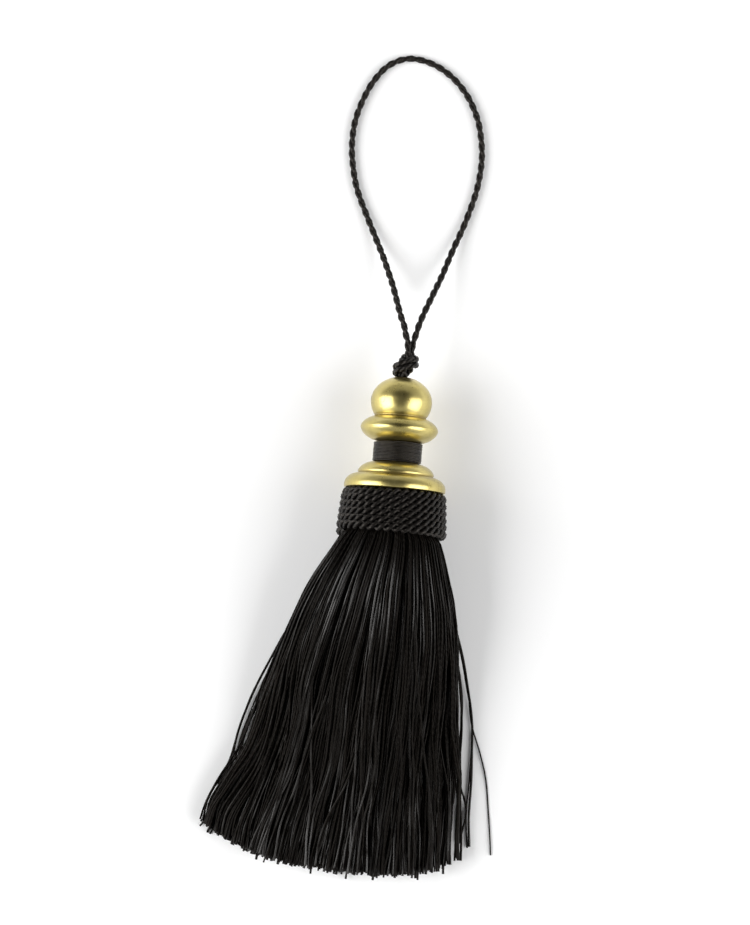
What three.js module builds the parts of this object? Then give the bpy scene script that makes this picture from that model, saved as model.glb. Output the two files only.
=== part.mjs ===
// A hanging tassel, laid on a table: a turned and gold-painted wooden head with a thread-wound neck,
// a cord-wound collar, a cut yarn skirt, and a twisted loop cord knotted on top of the ball.
// Millimetres. +Y runs along the head's axis towards the loop, +X to the right, +Z up.
// The origin lies on the table, under the middle of the tassel without its knot and loop.
import * as THREE from 'three';

// The head's axis lies flat, at this place across the table and this height above it
const axis = { x: 7.9, z: 12.4 };

// Where each piece starts and ends along Y, and its radii about the head's axis
const gap = 0.3;
const bore = { radius: 1.7 };
const collar = { foot: 21.1, top: 31.4, inner: 10.6, footCrest: 12.9, topCrest: 12.4, turns: 6 };
const cap = { foot: collar.top + gap, rim: 12.0, step: 9.1, top: 38.3 };
const neck = { foot: cap.top, top: 43.4, core: 4.8, winding: 5.8 };
const flange = { tipY: 46.5, tip: 9.2, top: 49.2 };
const ball = { middle: 52.85, radius: 7.25, above: 6.0, below: 6.4 };
const skirtNeck = { radius: collar.inner - gap, top: collar.top };

// Finishes
const goldPaint = new THREE.MeshStandardMaterial({ color: 0xb89b3e, roughness: 0.32, metalness: 0.85 });
const blackThread = new THREE.MeshStandardMaterial({ color: 0x1f1b19, roughness: 0.45, metalness: 0 });
const blackCord = new THREE.MeshStandardMaterial({ color: 0x1a1716, roughness: 0.6, metalness: 0 });
const blackYarn = new THREE.MeshStandardMaterial({ color: 0x151211, roughness: 0.5, metalness: 0 });

function named(name, geometry, material) {
  const mesh = new THREE.Mesh(geometry, material);
  mesh.name = name;
  return mesh;
}

// Points on part of an ellipse in the profile's plane: r out from the axis, y along it.
// A flatness over 1 draws the quarters in towards straight bevels.
function bulge(centre, size, fromDegrees, toDegrees, steps, flatness = 1) {
  const points = [];
  for (let i = 0; i <= steps; i += 1) {
    const angle = THREE.MathUtils.degToRad(fromDegrees + (toDegrees - fromDegrees) * i / steps);
    const out = Math.cos(angle);
    const along = Math.sin(angle);
    points.push(new THREE.Vector2(
      centre.r + size.r * out ** flatness,
      centre.y + size.y * Math.sign(along) * Math.abs(along) ** flatness));
  }
  return points;
}

// The turning: cap, neck, flange and ball in one profile, and back down its bore
function turnedHead() {
  const bevel = 1.2;
  const rimCentre = { r: 8.6, y: cap.foot + 0.9 };
  const rimSize = { r: cap.rim - 8.6, y: 2.85 };
  const stepCentre = { r: 5.6, y: cap.top - 2.7 };
  const stepSize = { r: cap.step - 5.6, y: 2.7 };
  const flangeCentre = { r: 5.2, y: flange.tipY };
  const lowerFace = { r: flange.tip - 5.2, y: flange.tipY - neck.top };
  const upperFace = { r: flange.tip - 5.2, y: flange.top - flange.tipY + 0.1 };
  const ballCentre = { r: 0, y: ball.middle };
  const profile = [
    new THREE.Vector2(bore.radius, cap.foot),
    new THREE.Vector2(11.55, cap.foot),
    ...bulge(rimCentre, rimSize, -12, 74, 9),
    new THREE.Vector2(8.8, cap.foot + 3.85),
    ...bulge(stepCentre, stepSize, 8, 86, 6, bevel),
    new THREE.Vector2(neck.core, neck.foot),
    new THREE.Vector2(neck.core, neck.top),
    ...bulge(flangeCentre, lowerFace, -80, 0, 7, bevel),
    ...bulge(flangeCentre, upperFace, 14, 70, 4, bevel),
    new THREE.Vector2(6.05, flange.top + 0.2),
    ...bulge(ballCentre, { r: ball.radius, y: ball.below }, -30, 0, 3),
    ...bulge(ballCentre, { r: ball.radius, y: ball.above }, 9, 75, 8),
    new THREE.Vector2(bore.radius, ball.middle + 5.6),
    new THREE.Vector2(bore.radius, cap.foot),
  ];
  return new THREE.LatheGeometry(profile, 40);
}

// The thread wound round the neck, as one sleeve with soft edges
function neckWinding() {
  const foot = neck.foot + gap;
  const top = neck.top - gap;
  const inner = neck.core + gap;
  const profile = [
    new THREE.Vector2(inner, foot),
    new THREE.Vector2(neck.winding - 0.2, foot),
    new THREE.Vector2(neck.winding, foot + 0.4),
    new THREE.Vector2(neck.winding, top - 0.4),
    new THREE.Vector2(neck.winding - 0.2, top),
    new THREE.Vector2(inner, top),
    new THREE.Vector2(inner, foot),
  ];
  return new THREE.LatheGeometry(profile, 32);
}

// Joins a row of like closed outlines into one skin. Faces point outwards where the outlines run from
// left to right over the top and each one lies below the last along Y, or where they turn about Y.
// A skin that isn't a ring is closed by a strip across its first and last outline.
function skin(outlines, isRing) {
  const count = outlines[0].length;
  const half = count / 2;
  const indices = [];
  const spans = isRing ? outlines.length : outlines.length - 1;
  for (let k = 0; k < spans; k += 1) {
    const here = k * count;
    const next = ((k + 1) % outlines.length) * count;
    for (let i = 0; i < count; i += 1) {
      const j = (i + 1) % count;
      indices.push(here + i, next + i, here + j);
      indices.push(here + j, next + i, next + j);
    }
  }
  if (!isRing) {
    const last = (outlines.length - 1) * count;
    for (let i = 0; i < half; i += 1) {
      const under = (count - i) % count;
      const underNext = count - i - 1;
      if (i + 1 < half) {
        indices.push(i, i + 1, underNext);
        indices.push(last + i, last + underNext, last + i + 1);
      }
      if (i > 0) {
        indices.push(i, underNext, under);
        indices.push(last + i, last + under, last + underNext);
      }
    }
  }
  const geometry = new THREE.BufferGeometry().setFromPoints(outlines.flat());
  geometry.setIndex(indices);
  geometry.computeVertexNormals();
  return geometry;
}

// The collar: six rows of one wound cord, each row a lobe that climbs by one pitch in a turn.
// Its underside is pressed flat on the table.
function collarWinding() {
  const around = 40;
  const perTurn = 6;
  const pitch = (collar.top - collar.foot) / collar.turns;
  const grooveDepth = 0.75;
  const steps = collar.turns * perTurn;
  const sections = [];
  for (let k = 0; k < around; k += 1) {
    const turn = k / around;
    const angle = turn * 2 * Math.PI;
    const place = (r, y) => new THREE.Vector3(
      r * Math.sin(angle), y, Math.max(r * Math.cos(angle), -axis.z));
    const section = [];
    for (let i = 0; i <= steps; i += 1) {
      const y = collar.foot + i * pitch / perTurn;
      const row = i / perTurn + turn;
      const lobe = Math.abs(Math.sin(Math.PI * row));
      const crest = THREE.MathUtils.lerp(collar.footCrest, collar.topCrest, i / steps);
      section.push(place(crest - grooveDepth * (1 - lobe), y));
    }
    section.push(place(collar.inner, collar.top));
    section.push(place(collar.inner, collar.foot));
    sections.push(section);
  }
  return skin(sections, true);
}

// The skirt's bundle below the collar, one row for each station down the yarns: the left and right edge
// in plan, how far the middle yarns reach below the line between them, the crown's height above the
// table, the height of the widest point, and the part of the width that lies flat on the table.
const skirtStations = [
  { left: [-4.4, 20.0], right: [20.2, 20.0], bow: 0.0, crown: 24.8, waist: 12.4, flat: 0.12 },
  { left: [-6.4, 17.6], right: [21.2, 17.6], bow: 0.0, crown: 24.7, waist: 11.2, flat: 0.30 },
  { left: [-10.6, 11.0], right: [23.4, 11.0], bow: 0.4, crown: 24.0, waist: 8.8, flat: 0.50 },
  { left: [-13.8, 3.6], right: [25.6, 3.8], bow: 0.9, crown: 22.6, waist: 7.0, flat: 0.62 },
  { left: [-16.6, -4.6], right: [27.5, -4.0], bow: 1.4, crown: 19.8, waist: 5.6, flat: 0.70 },
  { left: [-19.5, -13.6], right: [29.3, -13.0], bow: 2.2, crown: 16.6, waist: 4.7, flat: 0.76 },
  { left: [-22.3, -23.0], right: [30.4, -22.4], bow: 3.2, crown: 13.9, waist: 4.1, flat: 0.81 },
  { left: [-25.6, -32.0], right: [31.1, -31.8], bow: 4.6, crown: 12.0, waist: 3.7, flat: 0.85 },
  { left: [-29.2, -39.4], right: [31.6, -40.4], bow: 6.0, crown: 10.3, waist: 3.4, flat: 0.88 },
  { left: [-31.6, -45.2], right: [32.0, -46.8], bow: 7.4, crown: 9.3, waist: 3.2, flat: 0.90 },
  { left: [-31.9, -49.2], right: [32.0, -50.6], bow: 8.2, crown: 8.7, waist: 3.1, flat: 0.91 },
];
const lock = { count: 4.5, sway: 0.9, depth: 0.75, cutDepth: 0.55 };

function skirt() {
  const across = 28;
  const bundleWidth = skirtStations.at(-1).right[0] - skirtStations.at(-1).left[0];
  // Places round an outline: over the top from left to right, then back underneath
  const places = [];
  for (let i = 0; i < 2 * across; i += 1) {
    const isTop = i <= across;
    const turn = Math.PI * (isTop ? i : 2 * across - i) / across;
    places.push({ a: -Math.cos(turn), rise: Math.sin(turn), isTop });
  }
  const bound = (y) => places.map(({ a, rise, isTop }) => new THREE.Vector3(
    axis.x + skirtNeck.radius * a, y, axis.z + (isTop ? 1 : -1) * skirtNeck.radius * rise));
  const outlines = [bound(skirtNeck.top), bound(collar.foot - gap)];
  skirtStations.forEach((station, k) => {
    const [leftX, leftY] = station.left;
    const [rightX, rightY] = station.right;
    const isCutEnd = k === skirtStations.length - 1;
    const spread = (rightX - leftX) / bundleWidth;
    const drop = station.waist / Math.sqrt(1 - station.flat ** 2);
    outlines.push(places.map(({ a, rise, isTop }) => {
      const x = THREE.MathUtils.lerp(leftX, rightX, (1 + a) / 2);
      const wave = Math.cos(Math.PI * (lock.count * a + lock.sway * Math.sin(2 * a + 0.7)));
      const ragged = isCutEnd ? lock.cutDepth * Math.sin(23 * a) * rise : 0;
      const y = THREE.MathUtils.lerp(leftY, rightY, (1 + a) / 2)
        - station.bow * (1 - Math.abs(a) ** 3) + ragged;
      const ripple = lock.depth * (spread - 0.35) * wave * rise;
      const crown = station.waist + (station.crown - station.waist) * rise + ripple;
      const z = isTop ? crown : Math.max(station.waist - drop * rise, 0);
      return new THREE.Vector3(x, y, z);
    }));
  });
  return skin(outlines, false);
}

// The knot, one row for each section from the loop down to the ball: its place along Y, its middle's
// distance to the right of the axis, and half its width and height. It ends in the bore's mouth.
const knotSections = [
  { y: 64.5, x: 1.25, width: 1.75, height: 1.9 },
  { y: 63.9, x: 1.2, width: 2.1, height: 2.3 },
  { y: 63.0, x: 0.95, width: 2.4, height: 2.5 },
  { y: 62.0, x: 0.5, width: 2.65, height: 2.65 },
  { y: 61.0, x: 0.0, width: 2.7, height: 2.65 },
  { y: 60.1, x: -0.4, width: 2.45, height: 2.4 },
  { y: 59.4, x: -0.4, width: 1.95, height: 1.95 },
  { y: 59.0, x: -0.15, width: 1.45, height: 1.45 },
  { y: 58.5, x: 0.0, width: 1.35, height: 1.35 },
  { y: 56.9, x: 0.0, width: 1.35, height: 1.35 },
];

function knot() {
  const around = 20;
  const wrap = 0.07;
  const lobesPerMillimetre = 0.55;
  const outlines = knotSections.map(({ y, x, width, height }) => {
    const isStem = y < 59.2;
    const outline = [];
    for (let i = 0; i < around; i += 1) {
      const angle = Math.PI - i * 2 * Math.PI / around;
      const lobe = isStem ? 1 : 1 + wrap * Math.cos(2 * angle + lobesPerMillimetre * Math.PI * y);
      outline.push(new THREE.Vector3(
        x + width * lobe * Math.cos(angle), y, height * lobe * Math.sin(angle)));
    }
    return outline;
  });
  return skin(outlines, false);
}

// The loop cord's middle line, from the knot up the left leg, round the loop and down the right leg.
// Both legs leave the knot at the axis's height, side by side, and sink to the table.
const cord = { diameter: 1.6, sides: 8, steps: 72 };
const cordRoute = [
  [8.4, 65.0, 13.4],
  [8.2, 65.9, 13.3],
  [8.15, 66.7, 13.1],
  [8.0, 67.4, 12.85],
  [7.75, 68.2, 12.5],
  [7.5, 69.4, 12.1],
  [7.1, 71.0, 11.4],
  [6.15, 73.3, 10.4],
  [3.4, 81.3, 6.8],
  [2.0, 84.8, 5.0],
  [0.4, 88.6, 3.2],
  [-1.85, 93.3, 1.7],
  [-4.0, 97.7, 1.05],
  [-7.4, 105.3, 0.86],
  [-8.95, 111.9, 0.86],
  [-9.35, 116.1, 0.86],
  [-9.05, 121.2, 0.86],
  [-7.8, 126.0, 0.86],
  [-5.4, 131.4, 0.86],
  [-1.95, 135.6, 0.86],
  [2.6, 137.6, 0.86],
  [8.05, 136.9, 0.86],
  [13.1, 134.2, 0.86],
  [17.4, 129.8, 0.86],
  [20.3, 124.5, 0.86],
  [21.7, 119.5, 0.86],
  [22.3, 113.8, 0.86],
  [21.7, 107.0, 0.86],
  [20.0, 100.2, 0.95],
  [18.4, 95.3, 1.35],
  [17.3, 92.2, 2.0],
  [16.0, 88.1, 3.2],
  [14.9, 84.5, 4.9],
  [12.5, 77.6, 8.6],
  [11.35, 74.3, 10.2],
  [10.45, 71.2, 11.3],
  [10.05, 69.4, 11.75],
  [9.9, 68.2, 11.9],
  [9.75, 67.4, 11.95],
  [9.65, 66.7, 12.0],
  [9.5, 65.9, 12.0],
  [9.35, 65.0, 12.0],
];

function loopCord() {
  const section = new THREE.Shape();
  for (let i = 0; i < cord.sides; i += 1) {
    const angle = (i + 0.5) * 2 * Math.PI / cord.sides;
    const x = cord.diameter / 2 * Math.cos(angle);
    const y = cord.diameter / 2 * Math.sin(angle);
    if (i === 0) section.moveTo(x, y);
    else section.lineTo(x, y);
  }
  section.closePath();
  const route = new THREE.CatmullRomCurve3(cordRoute.map((point) => new THREE.Vector3(...point)));
  return new THREE.ExtrudeGeometry(section, {
    steps: cord.steps, extrudePath: route, bevelEnabled: false, curveSegments: 1,
  });
}

const tassel = new THREE.Group();
const onAxis = new THREE.Group();
onAxis.position.set(axis.x, 0, axis.z);
onAxis.add(named('turned_head', turnedHead(), goldPaint));
onAxis.add(named('neck_winding', neckWinding(), blackThread));
onAxis.add(named('collar_winding', collarWinding(), blackCord));
onAxis.add(named('knot', knot(), blackCord));
tassel.add(onAxis);
tassel.add(named('skirt', skirt(), blackYarn));
tassel.add(named('loop_cord', loopCord(), blackCord));

export default tassel;
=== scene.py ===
# %% [markdown]
# A hanging tassel, laid on a table.
# It has a turned wooden head with gold paint, a neck wound with black thread, a collar wound with
# black cord, a skirt of cut black yarn, and a loop of twisted cord that is knotted on top of the ball.
# This file builds its looks around the frame's fixed solids, piece by piece.

# %% Load the fixed frame
import math

import bpy
import numpy as np
from mathutils import Matrix, Vector


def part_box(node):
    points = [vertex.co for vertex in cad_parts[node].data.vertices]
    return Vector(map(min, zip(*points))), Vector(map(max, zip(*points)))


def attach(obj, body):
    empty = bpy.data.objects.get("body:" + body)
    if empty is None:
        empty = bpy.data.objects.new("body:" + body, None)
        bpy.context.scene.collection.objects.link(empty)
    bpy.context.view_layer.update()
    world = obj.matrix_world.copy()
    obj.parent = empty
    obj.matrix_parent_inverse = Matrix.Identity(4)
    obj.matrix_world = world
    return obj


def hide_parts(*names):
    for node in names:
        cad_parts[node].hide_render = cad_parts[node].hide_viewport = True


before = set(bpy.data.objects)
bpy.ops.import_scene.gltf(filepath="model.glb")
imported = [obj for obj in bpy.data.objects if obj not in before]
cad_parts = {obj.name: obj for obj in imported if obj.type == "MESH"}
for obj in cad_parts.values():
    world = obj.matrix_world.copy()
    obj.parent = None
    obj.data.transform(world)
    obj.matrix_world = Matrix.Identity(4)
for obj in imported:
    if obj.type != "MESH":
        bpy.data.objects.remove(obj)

MM = 0.001
TURN = 2 * math.pi
norm = np.linalg.norm
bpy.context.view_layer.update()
print("solids in the frame:", sorted(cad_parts))

# %% [markdown]
# The head, its windings and its collar all turn about one axis, which lies flat and runs along Y. Its
# place is worked out from the head's own solid. Lengths in this file are millimetres, and MM turns them
# into metres for the scene.

# %% Find the head's axis
head_low, head_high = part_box("turned_head")
AXIS_X = (head_low.x + head_high.x) / 2 / MM
AXIS_Z = (head_low.z + head_high.z) / 2 / MM
print(f"the axis lies at x {AXIS_X:.2f} mm and {AXIS_Z:.2f} mm above the table")

# %% [markdown]
# Node trees are easier to read as sums than as boxes and wires. A Socket wraps one output of a node,
# and a sum on it adds the Math nodes that work it out. A Tree adds every other node, with its own
# settings first, because they can change which sockets it has.

# %% A small language for node trees
def arithmetic(operation, turned=False):
    """A method of a Socket that adds a Math node."""
    def method(self, other):
        return self.tree.math(operation, *((other, self) if turned else (self, other)))
    return method


class Socket:
    """An output of a node. Arithmetic on it adds Math nodes to its tree."""

    def __init__(self, tree, output):
        self.tree = tree
        self.output = output

    __add__ = arithmetic("ADD")
    __radd__ = arithmetic("ADD", True)
    __sub__ = arithmetic("SUBTRACT")
    __rsub__ = arithmetic("SUBTRACT", True)
    __mul__ = arithmetic("MULTIPLY")
    __rmul__ = arithmetic("MULTIPLY", True)
    __truediv__ = arithmetic("DIVIDE")


class Node:
    """A node whose outputs are read by name or by number."""

    def __init__(self, tree, node):
        self.tree = tree
        self.node = node

    def __getitem__(self, key):
        return Socket(self.tree, Tree.find(self.node.outputs, key))


class Tree:
    """A node tree that is written as expressions."""

    def __init__(self, tree):
        self.tree = tree

    @staticmethod
    def find(sockets, key):
        if isinstance(key, int):
            return sockets[key]
        return next(s for s in sockets if s.name == key and s.enabled)

    def node(self, kind, sockets=None, **settings):
        made = self.tree.nodes.new(kind)
        for name, value in settings.items():
            if name == "capture":
                made.capture_items.new("FLOAT", value)
            else:
                setattr(made, name, value)
        self.feed(made.inputs, sockets or {})
        return Node(self, made)

    def geo(self, kind, sockets=None, **settings):
        return self.node("GeometryNode" + kind, sockets, **settings)

    def feed(self, inputs, values):
        """Links inputs to sockets or sets them to numbers. They are found by name or by number."""
        for key, value in values.items():
            found = Tree.find(inputs, key)
            if isinstance(value, Socket):
                self.tree.links.new(value.output, found)
            else:
                found.default_value = value

    def math(self, operation, *values):
        return self.node("ShaderNodeMath", dict(enumerate(values)), operation=operation)["Value"]

    def vector(self, operation, *values):
        sockets = dict(enumerate(values))
        return self.node("ShaderNodeVectorMath", sockets, operation=operation)["Vector"]

    def scaled(self, vector, factor):
        sockets = {"Vector": vector, "Scale": factor}
        return self.node("ShaderNodeVectorMath", sockets, operation="SCALE")["Vector"]

    def combine(self, x, y, z):
        return self.node("ShaderNodeCombineXYZ", {"X": x, "Y": y, "Z": z})["Vector"]

    def parts(self, vector):
        return self.node("ShaderNodeSeparateXYZ", {"Vector": vector})

    def clamped(self, value, low, high):
        return self.math("MINIMUM", self.math("MAXIMUM", value, low), high)

    def ring(self, angle):
        """A point on a circle of radius 1 round the Y axis."""
        return self.combine(self.math("SINE", angle), 0.0, self.math("COSINE", angle))

    def spline(self, key):
        return self.geo("SplineParameter")[key]

    def moved(self, geometry, **to):
        """Moves the points of a geometry to a Position, or by an Offset."""
        return self.geo("SetPosition", {"Geometry": geometry, **to})["Geometry"]


# %% [markdown]
# The camera hangs where the photograph's did: almost straight above the tassel, a little on the skirt's
# side, and turned so that the head leans a few degrees to the right. The perspective is the same, but the
# lens is longer, so that the tassel fills the picture.

# %% The camera
PICTURE_HEIGHT = 925
PHOTO_FOCAL_PIXELS = 1285
ENLARGED = 2.13
SENSOR = 36.0
CAMERA_PLACE = Vector((23.2, -9.6, 655.9))
LOOKS_AT = Vector((2.6, 38.6, 6.0))
CAMERA_TURN = math.radians(4.5)


def put_in_scene(name, data):
    made = bpy.data.objects.new(name, data)
    bpy.context.scene.collection.objects.link(made)
    return made


def make_camera():
    data = bpy.data.cameras.new("camera")
    data.sensor_width = SENSOR
    data.lens = SENSOR * PHOTO_FOCAL_PIXELS * ENLARGED / PICTURE_HEIGHT
    data.clip_start = 10 * MM
    camera = put_in_scene("camera", data)
    forward = (LOOKS_AT - CAMERA_PLACE).normalized()
    level = Vector((math.cos(CAMERA_TURN), math.sin(CAMERA_TURN), 0.0))
    right = (level - level.dot(forward) * forward).normalized()
    up = right.cross(forward)
    turn = Matrix((right, up, -forward)).transposed().to_4x4()
    camera.matrix_world = Matrix.Translation(CAMERA_PLACE * MM) @ turn
    bpy.context.scene.camera = camera
    return camera


camera = make_camera()
print(f"lens {camera.data.lens:.1f} mm")

# %% [markdown]
# Everything black on this tassel is viscose: a silky, slightly brown black. What differs is how it is
# twisted. Each thread, yarn and ply below carries an attribute named lay, which holds where a point is
# round its own strand, as a cosine and a sine, and how far along the strand it is. The finish draws
# its fibres and plies from that, so that they follow the strand.

# %% The viscose finish
def smooth_noise(tree, vector, scale, detail=2.0):
    sockets = {"Vector": vector, "Scale": scale, "Detail": detail}
    return tree.node("ShaderNodeTexNoise", sockets)["Fac"]


def mixed(tree, first, second, factor):
    sockets = {0: factor, 6: first, 7: second}
    return tree.node("ShaderNodeMix", sockets, data_type="RGBA")[2]


def relief(tree, height, strength, distance):
    sockets = {"Strength": strength, "Distance": distance, "Height": height}
    return tree.node("ShaderNodeBump", sockets)["Normal"]


def new_material(name):
    """Gives a material, its node tree and the inputs of its shader."""
    material = bpy.data.materials.new(name)
    material.use_nodes = True
    inputs = material.node_tree.nodes["Principled BSDF"].inputs
    return material, Tree(material.node_tree), inputs


def viscose(name, dark, light, roughness, ply_lay, ply_depth, sheen, gloss, silk_and_painted_sheen):
    """Black viscose. ply_lay is the length of one turn of its plies.

    The last argument is how strong its silky coat is where a strand's painted sheen is 1, and how much
    that painted sheen lightens its colour. A strand's own tone shifts its pattern, so that no two are
    alike.
    """
    material, tree, inputs = new_material(name)
    lay = tree.node("ShaderNodeAttribute", attribute_name="lay")["Vector"]
    tone = tree.node("ShaderNodeAttribute", attribute_name="tone")["Fac"]
    shine = tree.node("ShaderNodeAttribute", attribute_name="shine")["Fac"]
    parts = tree.parts(lay)
    angle = tree.math("ARCTAN2", parts["Y"], parts["X"])
    plies = tree.math("SINE", angle * 2.0 + parts["Z"] * (2 * TURN / (ply_lay * MM)) + tone * 20.0)
    stretched = tree.combine(parts["X"], parts["Y"], parts["Z"] * 160.0 + tone * 50.0)
    fibres = smooth_noise(tree, stretched, 3.0, 3.0)

    # Painted sheen: each point's painted sheen lightens the base colour and strengthens the coat, so a
    # strand looks lit where it is high and shaded where it is low.
    shade = tree.clamped(tone * 0.6 + fibres * 0.9 - 0.25 + shine * silk_and_painted_sheen * 0.8, 0.0, 1.5)
    tree.feed(inputs, {
        "Base Color": mixed(tree, (*dark, 1), (*light, 1), shade),
        "Roughness": fibres * 0.22 + (roughness - 0.11),
        "Coat Weight": tree.clamped(shine * silk_and_painted_sheen, 0.0, 1.0),
        "Coat Roughness": 0.26,
        "Normal": relief(tree, plies * ply_depth + fibres * 0.35, 0.5, 0.06 * MM),
        "Sheen Weight": sheen,
        "Sheen Roughness": 0.4,
        "Sheen Tint": (1.0, 0.90, 0.80, 1.0),
        "Specular IOR Level": gloss,
        "Specular Tint": (1.0, 0.91, 0.82, 1.0),
    })
    return material


cord_black = viscose(
    "cord_black", dark=(0.002, 0.0017, 0.0015), light=(0.010, 0.0085, 0.0075), roughness=0.33,
    ply_lay=1.6, ply_depth=0.3, sheen=0.006, gloss=0.24, silk_and_painted_sheen=0.0)
yarn_black = viscose(
    "yarn_black", dark=(0.0009, 0.0008, 0.0007), light=(0.0066, 0.0051, 0.0040), roughness=0.36,
    ply_lay=3.0, ply_depth=0.9, sheen=0.006, gloss=0.06, silk_and_painted_sheen=0.9)
thread_black = viscose(
    "thread_black", dark=(0.001, 0.0009, 0.0008), light=(0.006, 0.0055, 0.005), roughness=0.27,
    ply_lay=0.8, ply_depth=0.8, sheen=0.01, gloss=0.36, silk_and_painted_sheen=0.0)
print("finishes:", [m.name for m in (cord_black, yarn_black, thread_black)])

# %% [markdown]
# Geometry Nodes do the sweeping and twisting. Each tree takes lines as a mesh of edges, and its sizes as
# named inputs, and ends in Realize Instances and Set Material. The helper below runs a tree on lines,
# keeps what it makes as a plain mesh, and throws the lines and the modifier away.

# %% Helpers for pieces that Geometry Nodes grow
def new_geometry_tree(name, sizes, counts=()):
    """A tree with a number input for each size, and a whole number input for each count."""
    group = bpy.data.node_groups.new(name, "GeometryNodeTree")
    group.interface.new_socket("Geometry", in_out="OUTPUT", socket_type="NodeSocketGeometry")
    kinds = {"Geometry": "Geometry", "Material": "Material", **dict.fromkeys(sizes, "Float"),
             **dict.fromkeys(counts, "Int")}
    for title, kind in kinds.items():
        group.interface.new_socket(title, in_out="INPUT", socket_type="NodeSocket" + kind)
    tree = Tree(group)
    return tree, tree.node("NodeGroupInput")


def end_geometry_tree(tree, geometry, given):
    real = tree.geo("RealizeInstances", {"Geometry": geometry})["Geometry"]
    smooth = tree.geo("SetShadeSmooth", {"Geometry": real})["Geometry"]
    painted = tree.geo("SetMaterial", {"Geometry": smooth, "Material": given["Material"]})["Geometry"]
    tree.node("NodeGroupOutput", {"Geometry": painted})


def line_mesh(name, lines, attributes):
    """Open lines as one mesh of edges. lines has a row of points for each line, in millimetres."""
    count, steps = lines.shape[:2]
    mesh = bpy.data.meshes.new(name)
    mesh.vertices.add(count * steps)
    mesh.vertices.foreach_set("co", (lines.reshape(-1) * MM).astype(np.float32))
    first = (np.arange(count)[:, None] * steps + np.arange(steps - 1)).reshape(-1)
    mesh.edges.add(len(first))
    mesh.edges.foreach_set("vertices", np.stack([first, first + 1], 1).reshape(-1).astype(np.int32))
    for title, values in attributes.items():
        layer = mesh.attributes.new(title, "FLOAT", "POINT")
        spread = np.broadcast_to(values, (count, steps)).astype(np.float32)
        layer.data.foreach_set("value", spread.reshape(-1))
    return mesh


def grow(name, tree, lines, material, sizes, **attributes):
    """Runs a Geometry Nodes tree on lines and keeps the result as a plain mesh."""
    source = line_mesh(name + "_lines", lines, attributes)
    seed = put_in_scene(name + "_source", source)
    modifier = seed.modifiers.new("grow", "NODES")
    modifier.node_group = tree.tree
    given = {"Material": material, **sizes}
    for item in tree.tree.interface.items_tree:
        if item.in_out == "INPUT" and item.name in given:
            modifier[item.identifier] = given[item.name]
    depsgraph = bpy.context.evaluated_depsgraph_get()
    mesh = bpy.data.meshes.new_from_object(
        seed.evaluated_get(depsgraph), preserve_all_data_layers=True, depsgraph=depsgraph)
    mesh.name = name
    bpy.data.objects.remove(seed)
    bpy.data.meshes.remove(source)
    return put_in_scene(name, mesh)


def plain_object(name, points, faces, material):
    """An object of given points, in metres, and faces."""
    mesh = bpy.data.meshes.new(name)
    mesh.from_pydata(points, [], faces)
    mesh.materials.append(material)
    mesh.update()
    return put_in_scene(name, mesh)


def fit_to_frame(piece, slot, *nodes):
    """Says which body the piece rides on and which solids it stands for. Its slot is not used."""
    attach(piece, "root")
    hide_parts(*nodes)
    piece.data.calc_loop_triangles()
    print(f"{piece.name}: {len(piece.data.loop_triangles)} triangles, for {', '.join(nodes)}")


def smooth_line(points, per_span):
    """A smooth line through given points, by a Catmull-Rom rule on their chord lengths."""
    points = np.asarray(points, float)
    padded = np.vstack([2 * points[0] - points[1], points, 2 * points[-1] - points[-2]])
    knots = np.concatenate([[0], np.cumsum(norm(np.diff(padded, axis=0), axis=1) ** 0.5)])
    spans = []
    for k in range(1, len(padded) - 2):
        t = np.linspace(knots[k], knots[k + 1], per_span, endpoint=False)[:, None]
        p, q = padded[k - 1:k + 3], knots[k - 1:k + 3]
        a = [(p[i] * (q[i + 1] - t) + p[i + 1] * (t - q[i])) / (q[i + 1] - q[i]) for i in range(3)]
        b = [(a[i] * (q[i + 2] - t) + a[i + 1] * (t - q[i])) / (q[i + 2] - q[i]) for i in range(2)]
        spans.append((b[0] * (q[2] - t) + b[1] * (t - q[1])) / (q[2] - q[1]))
    return np.vstack(spans + [points[-1:]])


def distances(line):
    """How far along a line each of its points is."""
    return np.concatenate([[0], np.cumsum(norm(np.diff(line, axis=0), axis=1))])


# %% [markdown]
# The loop, the collar and the knot are one kind of cord: two plies laid round each other with an S
# twist, so that the strokes on an upright cord lean like the middle of that letter. A ply is a bunch of
# finer yarns twisted the other way. The tree copies the cord's path once for each ply, pushes each copy
# out from the path at an angle that grows with the distance along it, and sweeps a lobed outline.
# Turning the outline against the lay makes the lobes run almost straight along the cord, as real ones do.

# %% The twisted cord, as nodes
def captured(tree, geometry, title, value):
    """Keeps a value on a geometry's points. Gives the geometry and the kept value."""
    held = tree.geo("CaptureAttribute", {"Geometry": geometry, title: value}, capture=title)
    return held["Geometry"], held[title]


def swept(tree, curves, scale, sides, along, lobes=None):
    """Sweeps an outline of unit radius along curves, and stores the attribute that finishes read."""
    circle = tree.geo("CurvePrimitiveCircle", {"Resolution": sides, "Radius": 1.0})["Curve"]
    outline, angle = captured(tree, circle, "angle", tree.spline("Factor") * TURN)
    if lobes is not None:
        count, depth = lobes
        bulge = 1.0 - depth * (0.5 - 0.5 * tree.math("COSINE", angle * count))
        place = tree.scaled(tree.geo("InputPosition")["Position"], bulge)
        outline = tree.moved(outline, Position=place)
    sockets = {"Curve": curves, "Profile Curve": outline, "Scale": scale, "Fill Caps": True}
    tube = tree.geo("CurveToMesh", sockets)["Mesh"]
    lay = tree.combine(tree.math("COSINE", angle), tree.math("SINE", angle), along)
    sockets = {"Geometry": tube, "Name": "lay", "Value": lay}
    return tree.geo("StoreNamedAttribute", sockets, data_type="FLOAT_VECTOR", domain="POINT")["Geometry"]


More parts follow.
